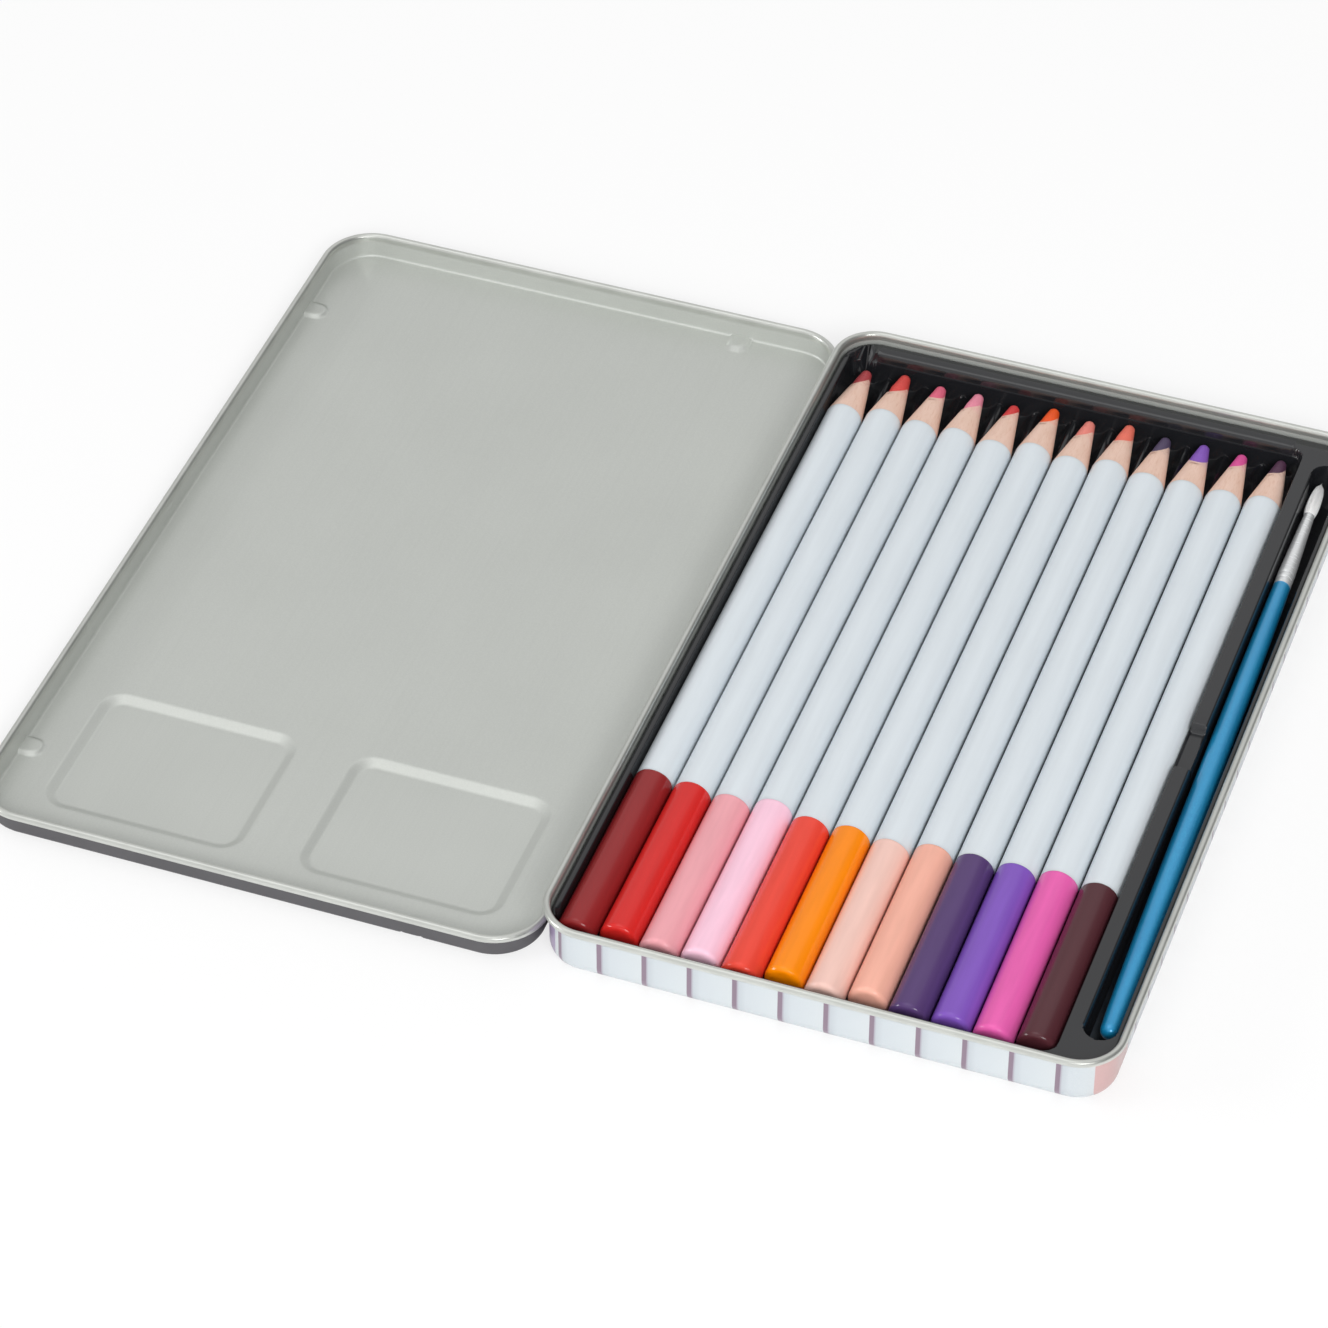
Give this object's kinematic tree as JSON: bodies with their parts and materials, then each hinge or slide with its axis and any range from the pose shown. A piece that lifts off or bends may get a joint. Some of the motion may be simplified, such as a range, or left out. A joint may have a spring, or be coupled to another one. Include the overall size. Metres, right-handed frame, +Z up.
{
  "type": "colored_pencil_tin",
  "caption": "Flat hinged tin lying open with round colored pencils and a paint brush in a molded insert, and shallow mixing wells in the lid",
  "frame": {"origin": "centre of the tray's underside, on the surface that it rests on", "axes": "+X from the hinge across the tray, away from the open lid; +Y from the pencils' blunt ends to their tips; +Z up"},
  "size_m": [0.2256, 0.189, 0.0122],
  "materials": {
    "tray_print": "semi-gloss printed tinplate",
    "lid_lacquer": "satin silver lacquer inside, charcoal outside",
    "hinge_wire": "drawn wire",
    "insert_sheet": "glossy thermoformed sheet",
    "brush_lacquer": "gloss lacquered wood",
    "brush_ferrule": "bright drawn tube",
    "brush_hair": "fine synthetic filament",
    "casing_burgundy": "semi-gloss lacquer over bare sharpened wood",
    "core_burgundy": "matte pigment core",
    "casing_red": "semi-gloss lacquer over bare sharpened wood",
    "core_red": "matte pigment core",
    "casing_salmon_pink": "semi-gloss lacquer over bare sharpened wood",
    "core_salmon_pink": "matte pigment core",
    "casing_light_pink": "semi-gloss lacquer over bare sharpened wood",
    "core_light_pink": "matte pigment core",
    "casing_vermilion": "semi-gloss lacquer over bare sharpened wood",
    "core_vermilion": "matte pigment core",
    "casing_orange": "semi-gloss lacquer over bare sharpened wood",
    "core_orange": "matte pigment core",
    "casing_peach": "semi-gloss lacquer over bare sharpened wood",
    "core_peach": "matte pigment core",
    "casing_salmon": "semi-gloss lacquer over bare sharpened wood",
    "core_salmon": "matte pigment core",
    "casing_indigo": "semi-gloss lacquer over bare sharpened wood",
    "core_indigo": "matte pigment core",
    "casing_violet": "semi-gloss lacquer over bare sharpened wood",
    "core_violet": "matte pigment core",
    "casing_hot_pink": "semi-gloss lacquer over bare sharpened wood",
    "core_hot_pink": "matte pigment core",
    "casing_maroon": "semi-gloss lacquer over bare sharpened wood",
    "core_maroon": "matte pigment core"
  },
  "bodies": {
    "tray": {"tray_shell": "tray_print", "hinge_pin_near": "hinge_wire", "hinge_pin_far": "hinge_wire"},
    "lid": {"lid_shell": "lid_lacquer"},
    "insert": {"insert_tray": "insert_sheet"},
    "pencil_01": {"pencil_01_casing": "casing_burgundy", "pencil_01_core": "core_burgundy"},
    "pencil_02": {"pencil_02_casing": "casing_red", "pencil_02_core": "core_red"},
    "pencil_03": {"pencil_03_casing": "casing_salmon_pink", "pencil_03_core": "core_salmon_pink"},
    "pencil_04": {"pencil_04_casing": "casing_light_pink", "pencil_04_core": "core_light_pink"},
    "pencil_05": {"pencil_05_casing": "casing_vermilion", "pencil_05_core": "core_vermilion"},
    "pencil_06": {"pencil_06_casing": "casing_orange", "pencil_06_core": "core_orange"},
    "pencil_07": {"pencil_07_casing": "casing_peach", "pencil_07_core": "core_peach"},
    "pencil_08": {"pencil_08_casing": "casing_salmon", "pencil_08_core": "core_salmon"},
    "pencil_09": {"pencil_09_casing": "casing_indigo", "pencil_09_core": "core_indigo"},
    "pencil_10": {"pencil_10_casing": "casing_violet", "pencil_10_core": "core_violet"},
    "pencil_11": {"pencil_11_casing": "casing_hot_pink", "pencil_11_core": "core_hot_pink"},
    "pencil_12": {"pencil_12_casing": "casing_maroon", "pencil_12_core": "core_maroon"},
    "brush": {"brush_handle": "brush_lacquer", "brush_ferrule": "brush_ferrule", "brush_hair": "brush_hair"}
  },
  "joints": [
    {"name": "lid_hinge", "type": "hinge", "parent": "tray", "child": "lid", "pos_m": [-0.0562, 0, 0.00715], "axis": [0, 1, 0], "range_deg": [0, 180]},
    {"name": "insert_lift", "type": "slide", "parent": "tray", "child": "insert", "axis": [0, 0, 1], "range_m": [0, 0.02]},
    {"name": "pencil_01_lift", "type": "slide", "parent": "insert", "child": "pencil_01", "axis": [0, 0, 1], "range_m": [0, 0.015]},
    {"name": "pencil_02_lift", "type": "slide", "parent": "insert", "child": "pencil_02", "axis": [0, 0, 1], "range_m": [0, 0.015]},
    {"name": "pencil_03_lift", "type": "slide", "parent": "insert", "child": "pencil_03", "axis": [0, 0, 1], "range_m": [0, 0.015]},
    {"name": "pencil_04_lift", "type": "slide", "parent": "insert", "child": "pencil_04", "axis": [0, 0, 1], "range_m": [0, 0.015]},
    {"name": "pencil_05_lift", "type": "slide", "parent": "insert", "child": "pencil_05", "axis": [0, 0, 1], "range_m": [0, 0.015]},
    {"name": "pencil_06_lift", "type": "slide", "parent": "insert", "child": "pencil_06", "axis": [0, 0, 1], "range_m": [0, 0.015]},
    {"name": "pencil_07_lift", "type": "slide", "parent": "insert", "child": "pencil_07", "axis": [0, 0, 1], "range_m": [0, 0.015]},
    {"name": "pencil_08_lift", "type": "slide", "parent": "insert", "child": "pencil_08", "axis": [0, 0, 1], "range_m": [0, 0.015]},
    {"name": "pencil_09_lift", "type": "slide", "parent": "insert", "child": "pencil_09", "axis": [0, 0, 1], "range_m": [0, 0.015]},
    {"name": "pencil_10_lift", "type": "slide", "parent": "insert", "child": "pencil_10", "axis": [0, 0, 1], "range_m": [0, 0.015]},
    {"name": "pencil_11_lift", "type": "slide", "parent": "insert", "child": "pencil_11", "axis": [0, 0, 1], "range_m": [0, 0.015]},
    {"name": "pencil_12_lift", "type": "slide", "parent": "insert", "child": "pencil_12", "axis": [0, 0, 1], "range_m": [0, 0.015]},
    {"name": "brush_lift", "type": "slide", "parent": "insert", "child": "brush", "axis": [0, 0, 1], "range_m": [0, 0.015]}
  ]
}
